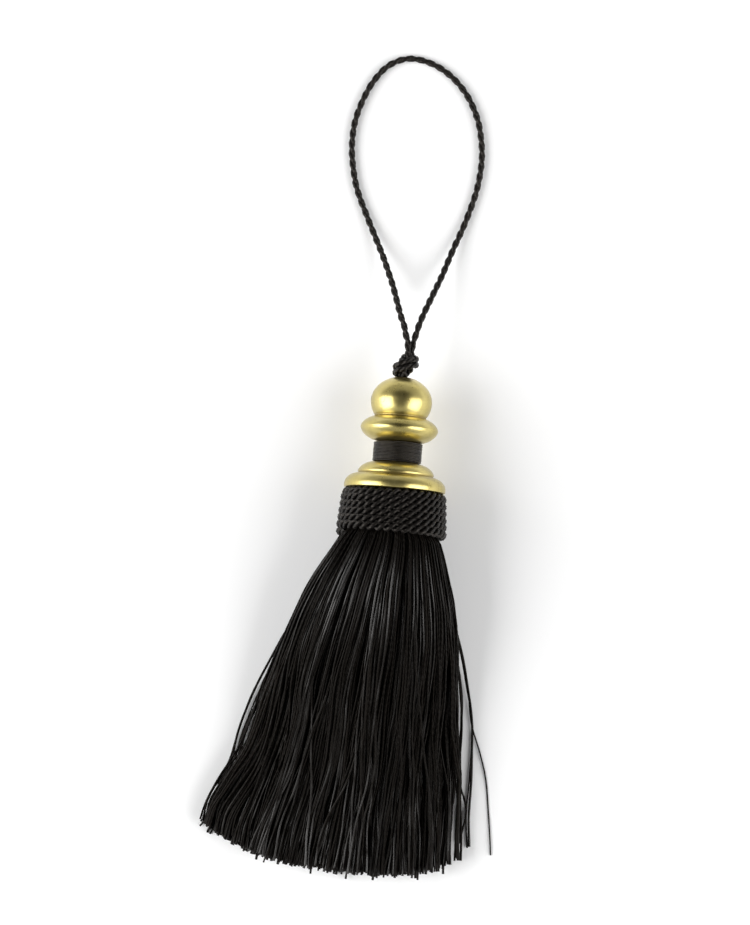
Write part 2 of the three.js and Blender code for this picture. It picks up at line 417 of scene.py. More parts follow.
def laid_up(tree, path, given, measured=None, pressed=None):
    """Lays two or more plies round a path. measured is how far along it a point counts as being.

    pressed is for rows of cord side by side: which way is out from them, and half a row's height.
    """
    copies = tree.geo("DuplicateElements", {"Geometry": path, "Amount": given["Plies"]}, domain="SPLINE")
    plies, along = captured(tree, copies["Geometry"], "along", measured or tree.spline("Length"))
    share = copies["Duplicate Index"] / given["Plies"]
    angle = TURN * (share - along / given["Lay"]) + given["Start Turn"]
    front = tree.math("COSINE", angle) * given["Ply Offset"]
    if pressed is None:
        normal = tree.geo("InputNormal")["Normal"]
        side = tree.vector("CROSS_PRODUCT", tree.geo("InputTangent")["Tangent"], normal)
        sideways = tree.scaled(side, tree.math("SINE", angle) * given["Ply Offset"])
        offset = tree.vector("ADD", tree.scaled(normal, front), sideways)
    else:
        outward, half_row = pressed
        slant = tree.math("ARCSINE", tree.math("SINE", angle) * 0.999) * (-2 / math.pi)
        offset = tree.vector("ADD", tree.scaled(outward, front), tree.combine(0.0, slant * half_row, 0.0))
    tilt = TURN * (along / given["Yarn Lay"] + share * 0.37)
    turned = tree.geo("SetCurveTilt", {"Curve": tree.moved(plies, Offset=offset), "Tilt": tilt})["Curve"]
    sides = given["Yarns"] * given["Sides per Yarn"]
    return swept(tree, turned, given["Ply Radius"], sides, along, (given["Yarns"], given["Groove"]))


CORD_SIZES = ("Ply Radius", "Ply Offset", "Lay", "Start Turn", "Yarn Lay", "Groove", "Step")
CORD_COUNTS = ("Plies", "Yarns", "Sides per Yarn")


def laid_cord_tree():
    tree, given = new_geometry_tree("laid_cord", CORD_SIZES, CORD_COUNTS)
    path = tree.geo("MeshToCurve", {"Mesh": given["Geometry"]})["Curve"]
    even = tree.geo("ResampleCurve", {"Curve": path, "Length": given["Step"]}, mode="LENGTH")["Curve"]
    end_geometry_tree(tree, laid_up(tree, even, given), given)
    return tree


laid_cord = laid_cord_tree()
print("the cord's sizes:", ", ".join(CORD_COUNTS + CORD_SIZES))

# %% [markdown]
# The loop cord shows from end to end, so its length is what the photograph shows. Both of its legs leave
# the knot at the height of the head's axis, side by side, and sink to the table, where the loop lies. Its
# route is the one that the frame's solid follows, drawn together a little where the legs meet, and its
# ends run on under the knot's front band. On the table its middle is a little over half its thickness
# up. A real cord of this kind is 1.6 mm thick, and a ply makes a full turn in 5 mm.

# %% The loop cord
ON_TABLE = 0.86
LOOP = [
    (-7.4, 105.3), (-8.95, 111.9), (-9.35, 116.1), (-9.05, 121.2), (-7.8, 126.0), (-5.4, 131.4),
    (-1.95, 135.6), (2.6, 137.6), (8.05, 136.9), (13.1, 134.2), (17.4, 129.8), (20.3, 124.5),
    (21.7, 119.5), (22.3, 113.8), (21.7, 107.0),
]
CORD_ROUTE = [
    (8.5, 64.0, 13.2), (8.5, 65.0, 13.35), (8.35, 65.9, 13.3), (8.35, 66.7, 13.1),
    (8.2, 67.4, 12.85), (7.9, 68.2, 12.5), (7.5, 69.4, 12.1),
    (7.1, 71.0, 11.4), (6.15, 73.3, 10.4), (3.4, 81.3, 6.8), (2.0, 84.8, 5.0), (0.4, 88.6, 3.2),
    (-1.85, 93.3, 1.7), (-4.0, 97.7, 1.05),
    *((x, y, ON_TABLE) for x, y in LOOP),
    (20.0, 100.2, 0.95), (18.4, 95.3, 1.35), (17.3, 92.2, 2.0),
    (16.0, 88.1, 3.2), (14.9, 84.5, 4.9), (12.5, 77.6, 8.6), (11.35, 74.3, 10.2),
    (10.45, 71.2, 11.3), (10.05, 69.4, 11.75), (9.75, 68.2, 11.85), (9.55, 67.4, 11.85),
    (9.45, 66.7, 11.85), (9.4, 65.9, 11.9), (9.3, 65.0, 12.0), (9.3, 64.0, 12.1),
]
CORD = {
    "Plies": 2, "Ply Radius": 0.54 * MM, "Ply Offset": 0.28 * MM, "Lay": 5.0 * MM, "Start Turn": 0.0,
    "Yarns": 5, "Sides per Yarn": 4, "Yarn Lay": 4.2 * MM, "Groove": 0.16, "Step": 0.22 * MM,
}

cord_line = smooth_line(CORD_ROUTE, 10)
cord_length = float(distances(cord_line)[-1])
loop_cord = grow("loop_cord_twisted", laid_cord, cord_line[None], cord_black, CORD)
fit_to_frame(loop_cord, "black_cord", "loop_cord")
print(f"the loop cord is {cord_length:.1f} mm long")

# %% [markdown]
# The knot is an overhand knot in the doubled cord, pulled tight on the ball. Both legs go in at its top
# side by side, down through its middle, out at the back on the left, across the front from lower left to
# upper right, round the back, and down through the middle again into the bore. One line of points follows
# the pair, and the two strands lie half a pair's width to each side of it, square to the way out from
# the knot's middle. The knot's pull draws the lay a little tighter than the free cord's.

# %% The knot
KNOT_MIDDLE = (AXIS_X + 0.35, 62.05, AXIS_Z)
PAIR_HALF = 0.66
KNOT_ROUTE = [
    (0.75, 2.4, 0.4), (0.85, 1.5, 0.6), (0.95, 0.5, 0.35), (0.85, -0.5, -0.35),
    (0.35, -1.35, -1.2), (-0.8, -1.75, -1.75), (-2.0, -1.8, -1.0), (-2.3, -1.5, 0.5),
    (-1.35, -1.05, 1.95), (0.0, -0.4, 2.3), (1.3, 0.1, 1.95), (2.3, 0.45, 0.5), (2.05, 0.85, -1.0),
    (0.75, 1.15, -1.75), (-0.4, 0.95, -1.2), (-0.85, 0.3, -0.35), (-0.9, -0.7, 0.35),
    (-0.8, -1.6, 0.75), (-0.65, -2.5, 0.6), (-0.45, -3.2, 0.2), (-0.35, -4.2, 0.0), (-0.35, -5.1, 0.0),
]


def pair_of_strands(route, half):
    """Two lines side by side along a route round the origin."""
    middle = smooth_line(route, 8)
    along = np.gradient(middle, axis=0)
    along /= norm(along, axis=1)[:, None]
    outward = middle * (1, 0, 1)
    side = np.cross(along, outward)
    for _ in range(12):
        side = np.vstack([side[:1], (side[:-2] + side[1:-1] * 2 + side[2:]) / 4, side[-1:]])
    side /= norm(side, axis=1)[:, None]
    return np.stack([middle + side * half, middle - side * half]) + KNOT_MIDDLE


knot_lines = pair_of_strands(KNOT_ROUTE, PAIR_HALF)
pulled_tight = {**CORD, "Lay": 4.6 * MM, "Step": 0.2 * MM}
knot = grow("knot_twisted", laid_cord, knot_lines, cord_black, pulled_tight)
fit_to_frame(knot, "black_cord", "knot")
tuple(np.array(CORD_ROUTE[0]) * MM)

# %% [markdown]
# The head is one wood turning, so its shape is a profile spun round the axis. The profile is written as
# arcs with small flats between them. The tree lays out a grid, takes each row's radius and place along
# the axis from the profile, and bends the grid round. A turned and painted surface isn't perfect, so a
# soft noise moves it in and out by a few hundredths of a millimetre.

# %% The head's profile
BORE = 1.7


def bulge(centre, size, from_degrees, to_degrees, steps, flatness=1.0):
    """Points on part of an ellipse: how far out from the axis, and how far along it."""
    angles = np.radians(np.linspace(from_degrees, to_degrees, steps + 1))
    out, along = np.cos(angles), np.sin(angles)
    return np.stack([
        centre[0] + size[0] * out ** flatness,
        centre[1] + size[1] * np.sign(along) * np.abs(along) ** flatness], 1)


def softened(points, share=0.25):
    """Cuts the corners of an open line, as a coat of paint rounds them."""
    a, b = points[:-1], points[1:]
    cut = np.stack([a + (b - a) * share, b - (b - a) * share], 1).reshape(-1, 2)
    return np.vstack([points[:1], cut, points[-1:]])


def head_profile():
    outside = np.vstack([
        [(BORE, 31.7), (11.2, 31.7), (11.55, 31.78)],
        bulge((8.6, 32.6), (3.4, 2.85), -12, 74, 22),
        [(8.85, 35.5)],
        bulge((5.6, 35.6), (3.5, 2.7), 10, 86, 16, 1.15),
        [(4.9, 38.4), (4.8, 38.7), (4.8, 43.0), (4.9, 43.3)],
        bulge((5.2, 46.5), (4.0, 3.1), -80, 0, 16, 1.2),
        bulge((5.2, 46.5), (4.0, 2.8), 12, 70, 12, 1.2),
        [(6.05, 49.35)],
        bulge((0, 52.85), (7.25, 6.4), -30, 0, 12),
        bulge((0, 52.85), (7.25, 6.0), 4, 76, 28),
        [(BORE, 58.45), (BORE - 0.1, 58.1)],
    ])
    return np.vstack([softened(outside), [(BORE - 0.1, 45.0), (BORE, 31.7)]])


profile = head_profile()
print(f"the profile has {len(profile)} points")

# %% [markdown]
# Gold paint is bright metal powder in a clear binder: metallic, a little rough, and never quite even.
# It is brightest where it is smooth, and painted shade turns it brown in the grooves beside the neck, over
# the cap's step and at both ends of the ball.

# %% The gold paint
GROOVES = [(35.55, 0.45), (38.4, 0.5), (43.3, 0.5), (49.35, 0.5), (58.4, 0.5)]


def gold_paint():
    """GROOVES says where the painted groove shade lies along the axis, and how far it reaches to each
    side.
    """
    material, tree, inputs = new_material("gold_paint")
    place = tree.node("ShaderNodeTexCoord")["Object"]
    along = tree.parts(place)["Y"]
    light, deep, groove_shade_brown = (0.68, 0.58, 0.23, 1), (0.47, 0.385, 0.12, 1), (0.20, 0.13, 0.04, 1)

    clouds = smooth_noise(tree, place, 260.0, 3.0)
    specks = smooth_noise(tree, place, 2600.0, 2.0)
    grain = smooth_noise(tree, tree.vector("MULTIPLY", place, (1.0, 0.18, 1.0)), 1500.0, 3.0)
    mottled = mixed(tree, deep, light, tree.clamped(clouds * 1.6 + specks * 0.5 - 0.55, 0, 1))
    # Painted shade: the colour turns brown, and a little rougher, in the grooves where shade falls.
    groove_shade = 0.0
    for middle, half in GROOVES:
        away = tree.math("ABSOLUTE", (along - middle * MM) / (half * MM))
        groove_shade = tree.math("MAXIMUM", groove_shade, 1.0 - away)
    groove_shade = groove_shade * (0.35 + 0.6 * clouds)
    tree.feed(inputs, {
        "Base Color": mixed(tree, mottled, groove_shade_brown, groove_shade),
        "Roughness": 0.19 + 0.14 * clouds + 0.08 * specks + 0.2 * groove_shade,
        "Metallic": 1.0,
        "Coat Weight": 0.15,
        "Coat Roughness": 0.12,
        "Normal": relief(tree, clouds + grain * 0.25 + specks * 0.12, 0.35, 0.12 * MM),
    })
    return material


gold = gold_paint()

# %% The head, spun by nodes
def lathe_tree():
    tree, given = new_geometry_tree("lathe", ("Unevenness", "Weld"), ("Rows", "Segments"))
    grid = tree.geo("MeshGrid", {"Vertices X": given["Rows"], "Vertices Y": given["Segments"] + 1.0})
    parts = tree.parts(grid["UV Map"])
    row = tree.math("ROUND", parts["X"] * (given["Rows"] - 1.0))
    position = tree.geo("InputPosition")["Position"]
    sockets = {"Geometry": given["Geometry"], "Value": position, "Index": row}
    sampled = tree.geo("SampleIndex", sockets, data_type="FLOAT_VECTOR")["Value"]
    point = tree.parts(sampled)
    ring = tree.ring(parts["Y"] * TURN)
    spun = tree.vector("ADD", tree.scaled(ring, point["X"]), tree.combine(0.0, point["Y"], 0.0))
    soft = smooth_noise(tree, spun, 130.0, 1.0) - 0.5
    uneven = tree.vector("ADD", spun, tree.scaled(ring, soft * given["Unevenness"]))
    placed = tree.vector("ADD", uneven, tree.combine(AXIS_X * MM, 0.0, AXIS_Z * MM))
    sockets = {"Geometry": tree.moved(grid["Mesh"], Position=placed), "Distance": given["Weld"]}
    end_geometry_tree(tree, tree.geo("MergeByDistance", sockets)["Geometry"], given)
    return tree


def turned_head():
    flat = np.column_stack([profile, np.zeros(len(profile))])[None]
    sizes = {"Rows": len(profile), "Segments": 128, "Unevenness": 0.09 * MM, "Weld": 0.001 * MM}
    return grow("gold_head", lathe_tree(), flat, gold, sizes)


gold_head = turned_head()
fit_to_frame(gold_head, "gold_paint", "turned_head")

# %% [markdown]
# The neck is wound with one fine thread that runs from the cap to the flange and back, turn against
# turn. The tree bends a straight line into that winding. The whole number of layers done so far says
# which way the thread is going and how far out it lies.

# %% The neck's winding
NOTHING = np.zeros((1, 2, 3))


def wound_line(tree, steps):
    """A straight line of so many points, to be wound, with each point's share of the way along it."""
    line = tree.geo("CurvePrimitiveLine")["Curve"]
    path = tree.geo("ResampleCurve", {"Curve": line, "Count": steps}, mode="COUNT")["Curve"]
    return captured(tree, path, "share", tree.spline("Factor"))


def wandering(tree, share, waves):
    """A slow unevenness along a winding, to both sides of 0."""
    return smooth_noise(tree, tree.combine(share * waves, 0.0, 0.0), 1.0) - 0.5


def round_axis(tree, angle, radius, along, lowest=0.0):
    """A place round the head's axis, no lower than lowest."""
    height = AXIS_Z * MM + radius * tree.math("COSINE", angle)
    across = AXIS_X * MM + radius * tree.math("SINE", angle)
    return tree.combine(across, along, tree.math("MAXIMUM", height, lowest))


def neck_winding_tree():
    sizes = ("Turns", "From", "To", "Inner Radius", "Layer Step", "Thread Radius")
    tree, given = new_geometry_tree("neck_winding", sizes, ("Layers", "Steps"))
    path, share = wound_line(tree, given["Steps"])
    done = tree.math("MINIMUM", share, 0.99999) * given["Layers"]
    layer = tree.math("FLOOR", done)
    within = done - layer
    is_back = tree.math("FLOORED_MODULO", layer, 2.0)
    climb = within + is_back * (1.0 - 2.0 * within)
    wander = wandering(tree, share, 60.0) * given["Thread Radius"]
    along = given["From"] + (given["To"] - given["From"]) * climb + wander * 1.6
    radius = given["Inner Radius"] + layer * given["Layer Step"] + wander * 1.2
    angle = share * given["Turns"] * TURN
    wound = tree.moved(path, Position=round_axis(tree, angle, radius, along))
    held, measured = captured(tree, wound, "along", tree.spline("Length"))
    end_geometry_tree(tree, swept(tree, held, given["Thread Radius"], 8, measured), given)
    return tree


def neck_thread():
    low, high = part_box("neck_winding")
    radius = (high.x - low.x) / 2
    thread = 0.2 * MM
    turns = 26
    sizes = {"Turns": turns, "Layers": 2, "Steps": turns * 40, "From": low.y + thread - 0.15 * MM,
             "To": high.y - thread + 0.15 * MM, "Inner Radius": radius - 2.75 * thread,
             "Layer Step": 1.75 * thread, "Thread Radius": thread}
    return grow("neck_thread", neck_winding_tree(), NOTHING, thread_black, sizes)


neck = neck_thread()
fit_to_frame(neck, "black_thread", "neck_winding")

# %% [markdown]
# The collar is one length of the same cord as the loop, wound six times round the top of the skirt. The
# rows press on each other, so each stroke of a ply runs straight across its row. The strokes of
# neighbouring rows line up, because a turn takes a whole number of them, and the collar shows long
# slanting lines. The first part of a turn runs level against the cap, and both ends are tucked in under
# the rows. Where the collar lies on the table, its rows are pressed up by it.

# %% The collar's winding
COLLAR_PLY = 0.53
COLLAR_PLY_OFFSET = 0.42
LEVEL_TURN = 0.4
TUCKED_TURN = 0.06


def collar_tree():
    sizes = ("Turns", "Start Angle", "Top", "Foot", "Top Radius", "Foot Radius", "Tuck", "Table", "Girth")
    tree, given = new_geometry_tree("collar_winding", CORD_SIZES + sizes, CORD_COUNTS + ("Steps",))
    path, share = wound_line(tree, given["Steps"])
    turn = share * given["Turns"]
    fall = tree.clamped((turn - LEVEL_TURN) / (given["Turns"] - LEVEL_TURN), 0.0, 1.0)
    wander = wandering(tree, share, 30.0) * given["Ply Radius"]
    along = given["Top"] + (given["Foot"] - given["Top"]) * fall + wander * 0.5
    from_end = tree.math("MINIMUM", turn, given["Turns"] - turn)
    tucked = 1.0 - tree.clamped(from_end / TUCKED_TURN, 0.0, 1.0)
    radius = given["Top Radius"] + (given["Foot Radius"] - given["Top Radius"]) * fall
    radius = radius - given["Tuck"] * tucked + wander * 0.3
    angle = given["Start Angle"] + turn * TURN
    wound = tree.moved(path, Position=round_axis(tree, angle, radius, along, given["Table"]))
    measured = turn * given["Girth"] + wander * 1.2
    half_row = (given["Top"] - given["Foot"]) / (given["Turns"] - LEVEL_TURN) * 0.5
    pressed = (tree.ring(angle), half_row)
    end_geometry_tree(tree, laid_up(tree, wound, given, measured, pressed), given)
    return tree


def collar_cord():
    low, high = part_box("collar_winding")
    half_cord = 0.83 * MM
    strokes_in_a_turn = 37
    sizes = {
        **CORD, "Ply Radius": COLLAR_PLY * MM, "Ply Offset": COLLAR_PLY_OFFSET * MM, "Start Turn": 1.2,
        "Turns": 6.07, "Steps": 1500, "Girth": strokes_in_a_turn * CORD["Lay"] / 2,
        "Start Angle": math.radians(-100), "Top": high.y - half_cord, "Foot": low.y + 0.3 * MM,
        "Top Radius": 12.4 * MM - half_cord, "Foot Radius": 13.1 * MM - half_cord, "Tuck": 1.4 * MM,
        "Table": (COLLAR_PLY + COLLAR_PLY_OFFSET) * MM}
    return grow("collar_cord", collar_tree(), NOTHING, cord_black, sizes)


collar = collar_cord()
fit_to_frame(collar, "black_cord", "collar_winding")

# %% [markdown]
# The skirt is a bundle of about thirteen hundred yarns of their real thickness. Under the collar they
# fill a round bundle. Below it they sink to the table and fan out, and the bundle becomes a low mound
# that is flat underneath. Each row below is a station down the yarns. It says where the mound's left and
# right edges are in plan, how far the middle yarns reach beyond the line between them, how high the
# middle is, how high the widest point is, and what share of the width lies flat. A rule smooths between
# the stations, and each yarn keeps its own place in the bundle from one station to the next.

# %% The skirt's stations
# left x, left y, right x, right y, bow, crown, waist, flat
STATIONS = np.array([
    (-1.8, 27.0, 17.6, 27.0, 0.0, 22.1, 12.4, 0.05),
    (-2.6, 22.4, 18.4, 22.4, 0.0, 22.5, 12.4, 0.08),
    (-4.4, 20.0, 20.2, 20.0, 0.0, 22.8, 12.2, 0.12),
    (-6.2, 17.0, 21.3, 17.0, 0.1, 23.4, 11.2, 0.30),
    (-9.8, 11.0, 23.3, 11.0, 0.4, 24.3, 8.8, 0.50),
    (-13.4, 3.6, 25.4, 3.8, 0.9, 23.2, 7.0, 0.62),
    (-16.6, -4.6, 26.9, -4.0, 1.4, 20.4, 5.6, 0.70),
    (-19.3, -13.6, 27.7, -13.0, 2.2, 17.0, 4.7, 0.76),
    (-21.6, -23.0, 28.2, -22.4, 3.2, 14.1, 4.1, 0.81),
    (-24.6, -32.0, 29.3, -32.6, 4.6, 12.1, 3.7, 0.85),
    (-28.6, -39.8, 30.0, -41.6, 6.0, 10.6, 3.4, 0.88),
    (-31.0, -45.2, 30.4, -48.6, 6.8, 9.3, 3.2, 0.90),
    (-31.9, -49.2, 30.6, -53.0, 6.6, 8.7, 3.1, 0.91),
])


def station_shares():
    middle = (STATIONS[:, :2] + STATIONS[:, 2:4]) / 2
    middle[:, 1] -= STATIONS[:, 4]
    down = distances(middle)
    return down / down[-1]


SHARES = station_shares()


def at_shares(t):
    """The mound's outline at shares t of the way down the yarns, smoothed between the stations."""
    slopes = np.gradient(STATIONS, SHARES, axis=0)
    k = np.clip(np.searchsorted(SHARES, t, side="right") - 1, 0, len(SHARES) - 2)
    span = SHARES[k + 1] - SHARES[k]
    u = np.clip((t - SHARES[k]) / span, 0, 1)[..., None]
    past = np.maximum(t - 1, 0)[..., None]
    span = span[..., None]
    smooth = ((1 + 2 * u) * (1 - u) ** 2 * STATIONS[k] + u * (1 - u) ** 2 * span * slopes[k]
              + u * u * (3 - 2 * u) * STATIONS[k + 1] + u * u * (u - 1) * span * slopes[k + 1])
    return smooth + past * slopes[-1] * (1, 1, 1, 1, 1, 1, 0, 0)


def in_bundle(across, up, t):
    """Where a place in the round bundle lies at shares t. across and up run from -1 to 1."""
    left_x, left_y, right_x, right_y, bow, crown, waist, flat = np.moveaxis(at_shares(t), -1, 0)
    rise = np.sqrt(np.clip(1 - across ** 2, 0.0004, 1))
    share = np.clip((up / rise + 1) / 2, 0, 1)
    top = waist + (crown - waist) * rise
    under = np.maximum(waist - waist / np.sqrt(1 - flat ** 2) * rise, 0)
    return np.stack([
        left_x + (right_x - left_x) * (1 + across) / 2,
        left_y + (right_y - left_y) * (1 + across) / 2 - bow * (1 - np.abs(across) ** 3),
        under + (top - under) * share], -1)


print(f"the yarns fan out to a width of {STATIONS[-1, 2] - STATIONS[-1, 0]:.0f} mm")

# %% [markdown]
# Loose yarns cling together in locks, a few millimetres wide at the cut end, with grooves between them.
# Each yarn belongs to the nearest lock. As the bundle opens, a lock draws its yarns in, sways, rises and
# sinks, so that grooves open beside it and neighbours overlap. A few small groups and single yarns cross
# over the rest at a small angle. All of the random numbers come from one seeded source, so that the skirt
# is the same each time.

# %% Places in the bundle
YARN_RADIUS = 0.26
YARN_COUNT = 1320
OUTER_REACH = 0.50
GROOVE_DEPTH = 1.7
CROSSING_GROUPS = 16
GROUP_LIFT = 0.9
SINGLE_SHARE = 0.18
SINGLE_SPREAD = 0.12
SINGLE_LIFT = 4.0
random = np.random.default_rng(31)


def sunflower(count):
    """Places spread evenly over a disc of radius 1."""
    i = np.arange(count)
    radius = np.sqrt((i + 0.5) / count)
    angle = i * math.pi * (3 - math.sqrt(5))
    return np.stack([radius * np.sin(angle), radius * np.cos(angle)], 1)


def lock_middles():
    """Places for the locks' middles, on three rings in the disc."""
    middles = []
    for radius, count in ((0.86, 27), (0.56, 14), (0.22, 5)):
        angle = TURN * (np.arange(count) + random.uniform(-0.40, 0.40, count)) / count
        reach = radius + random.uniform(-0.08, 0.08, count)
        middles.append(np.stack([reach * np.sin(angle), reach * np.cos(angle)], 1))
    return np.vstack(middles)


def eased(t, low, high):
    u = np.clip((t - low) / (high - low), 0, 1)
    return u * u * (3 - 2 * u)


def slow_wave(count, t, waves):
    """A smooth random curve for each yarn, of about unit height."""
    total = np.zeros((count, t.shape[-1]))
    for k in range(3):
        turns = waves * (0.6 + 0.5 * k) * random.uniform(0.8, 1.25, (count, 1))
        start = random.uniform(0, TURN, (count, 1))
        total += np.sin(TURN * turns * t + start) / (1 + k)
    return total / 1.5


LOCKS = lock_middles()
LOCK_PULL = random.uniform(0.15, 0.46, len(LOCKS))
LOCK_TWIST = random.normal(0, 0.45, len(LOCKS))
LOCK_TONE = random.random(len(LOCKS))
LOCK_STEPS = np.linspace(0, 1, 60)
LOCK_SWAY = 0.034 * slow_wave(len(LOCKS), LOCK_STEPS, 1.3)
LOCK_LIFT = 0.62 * slow_wave(len(LOCKS), LOCK_STEPS, 1.2) + random.normal(0, 0.4, (len(LOCKS), 1))
LOCK_RIPPLE = slow_wave(len(LOCKS), LOCK_STEPS, 5.0)


def of_lock(curves, lock, t):
    """Reads each yarn's value from its lock's curve."""
    return np.stack([np.interp(t[i], LOCK_STEPS, curves[lock[i]]) for i in range(len(lock))])


# %% Lines for the yarns
def crossing_groups(disc, count):
    """A few neighbours on the upper side leave their lock together."""
    cross = np.zeros(len(disc))
    start = np.full(len(disc), 0.3)
    upper = np.flatnonzero((disc[:, 1] > 0.1) & (norm(disc, axis=1) > 0.82))
    for seed in random.choice(upper, count, replace=False) if len(upper) else ():
        near = norm(disc - disc[seed], axis=1) < random.uniform(0.035, 0.06)
        cross[near] = random.choice([-1, 1]) * random.uniform(0.08, 0.19)
        start[near] = random.uniform(0.08, 0.5)
    return cross[:, None], start[:, None]


def place_yarns(disc, t):
    """Lines down the skirt for yarns at places in the disc, at shares t with one row for each yarn."""
    count = len(disc)
    apart = norm(disc[:, None] - LOCKS[None], axis=2)
    lock = np.argmin(apart, axis=1)
    nearest = np.sort(apart, axis=1)
    border = (2 * nearest[:, 0] / (nearest[:, 0] + nearest[:, 1]))[:, None]
    outer = eased(norm(disc, axis=1), 0.62, 0.85)[:, None]
    opened = 0.25 + 0.75 * eased(t, 0.04, 0.80)

    # Each lock draws its yarns in, twists and sways.
    away = disc - LOCKS[lock]
    size = 1 - LOCK_PULL[lock][:, None] * opened * (0.3 + 0.7 * outer)
    turn = LOCK_TWIST[lock][:, None] * opened
    across = (away[:, :1] * np.cos(turn) - away[:, 1:] * np.sin(turn)) * size + LOCKS[lock][:, :1]
    up = (away[:, :1] * np.sin(turn) + away[:, 1:] * np.cos(turn)) * size + LOCKS[lock][:, 1:]
    across += of_lock(LOCK_SWAY, lock, t) * opened
    across += 0.018 * slow_wave(count, t, 2.2) * (0.15 + opened)
    up += 0.012 * slow_wave(count, t, 2.0) * opened

    # Some groups and single yarns cross over the others at a small angle.
    cross, start = crossing_groups(disc, CROSSING_GROUPS)
    single = (random.random((count, 1)) < SINGLE_SHARE) * random.normal(0, SINGLE_SPREAD, (count, 1))
    across += cross * eased(t, start, 1.0) + single * eased(t, random.uniform(0.05, 0.5, (count, 1)), 1.0)
    reach = np.maximum(np.hypot(across, up), 0.001)
    inside = np.minimum(1, 0.995 / reach)
    lines = in_bundle(across * inside, up * inside, t)

    # Locks rise and sink, their borders are grooves, and yarns that cross lie on top, all outward.
    lift = of_lock(LOCK_LIFT, lock, t) - GROOVE_DEPTH * border ** 2 + random.normal(0, 0.22, (count, 1))
    lift = outer * (0.2 + 0.8 * opened) * (lift + 0.3)
    lift += (np.abs(cross) > 0) * GROUP_LIFT * eased(t, start, start + 0.2)
    lift += SINGLE_LIFT * np.abs(single) * opened
    lines[..., 0] += lift * across / reach * 0.6
    lines[..., 2] += lift * np.maximum(up / reach, 0)

    # Every yarn has slow waves of its own, besides those of its lock.
    ripple = of_lock(LOCK_RIPPLE, lock, t)
    wave = 0.03 + 0.13 * opened
    lines[..., 0] += wave * (slow_wave(count, t, 5.0) + 0.8 * ripple)
    lines[..., 2] += wave * (slow_wave(count, t, 4.5) + 0.8 * ripple)
    return lines, lock


def yarn_shares(count, start, steps):
    """Shares down the skirt for each yarn, to an end that is cut a little unevenly."""
    long = random.random((count, 1)) < 0.03
    end = 1 + random.normal(0, 0.0048, (count, 1)) + long * random.uniform(0.004, 0.018, (count, 1))
    u = np.linspace(0, 1, steps - 1)
    u = np.concatenate([u[:-1], [1 - 0.25 / (steps - 2), 1.0]])
    return start + (end - start) * u[None]


disc = sunflower(YARN_COUNT) + random.normal(0, 0.008, (YARN_COUNT, 2))
is_outer = norm(disc, axis=1) > OUTER_REACH
outer_t = yarn_shares(is_outer.sum(), 0.0, 38)
outer_lines, outer_lock = place_yarns(disc[is_outer], outer_t)
print(f"{is_outer.sum()} yarns show along their length, and {(~is_outer).sum()} only at the cut end")

# %% [markdown]
# One tree turns every line into a yarn. It reads each point's own thickness from an attribute, so that a
# cut end can swell where its twist opens. The yarns deep in the bundle show only at their cut ends, so
# they are short there, and a dark core stands for the rest of them.

# %% The yarns, as nodes
def yarn_tree():
    tree, given = new_geometry_tree("yarns", ("Radius",), ("Sides",))
    curves = tree.geo("MeshToCurve", {"Mesh": given["Geometry"]})["Curve"]
    held, along = captured(tree, curves, "along", tree.spline("Length"))
    thick = tree.geo("InputNamedAttribute", {"Name": "thick"}, data_type="FLOAT")
    scale = thick["Attribute"] * given["Radius"]
    end_geometry_tree(tree, swept(tree, held, scale, given["Sides"], along), given)
    return tree


yarns = yarn_tree()

# Painted sheen along the skirt, and across its upper half: painted shade under the collar, the most sheen
# on the bulge below it, less further down and more again at the cut end, and more on the left than on the
# right.
PAINTED_SHEEN_SHARES = [0.0, 0.09, 0.12, 0.16, 0.20, 0.27, 0.34, 0.39, 0.46, 0.57, 0.69, 0.81, 0.93, 1.0]
PAINTED_SHEEN_LEVELS = [0.0, 0.05, 0.50, 2.30, 2.70, 1.75, 0.95, 0.46, 0.32, 0.22, 0.24, 0.52, 1.00, 1.2]
PAINTED_SHEEN_SIDES = [-0.6, -0.3, 0.0, 0.26, 0.54, 0.80, 1.0]
PAINTED_SHEEN_AT_SIDES = [1.50, 1.40, 1.20, 0.68, 1.05, 0.28, 0.15]


def painted_yarn_sheen(lines, locks):
    """Painted sheen at each point of each yarn, which sets its silky coat and lightens its colour. A few
    yarns in each lock get most of it.
    """
    count, steps = lines.shape[:2]
    x, y = lines[..., 0], lines[..., 1]
    down = np.interp(-y, [-22.0, 56.0], [0.06, 1.0])
    level = np.interp(down, PAINTED_SHEEN_SHARES, PAINTED_SHEEN_LEVELS)
    middle = 4.0 - 0.12 * y
    half_width = 22.0
    across = np.clip((x - middle) / half_width, -1, 1)
    own = 0.02 + 0.96 * random.random((count, 1)) ** 3.8
    painted_glints = 1 + 0.55 * slow_wave(count, np.linspace(0, 1, steps), 7.0)
    painted_glints = np.clip(painted_glints + random.normal(0, 0.5, (count, steps)), 0.1, 2.4)
    # Across the upper skirt there is more painted sheen on the left than on the right. Towards the cut end
    # it evens out.
    lower = eased(down, 0.45, 0.80)
    side = (1.0 - lower) * np.interp(across, PAINTED_SHEEN_SIDES, PAINTED_SHEEN_AT_SIDES) + lower * (1.05 - 0.05 * across)
    return own * (0.65 + 0.40 * LOCK_TONE[locks][:, None]) * painted_glints * level * side


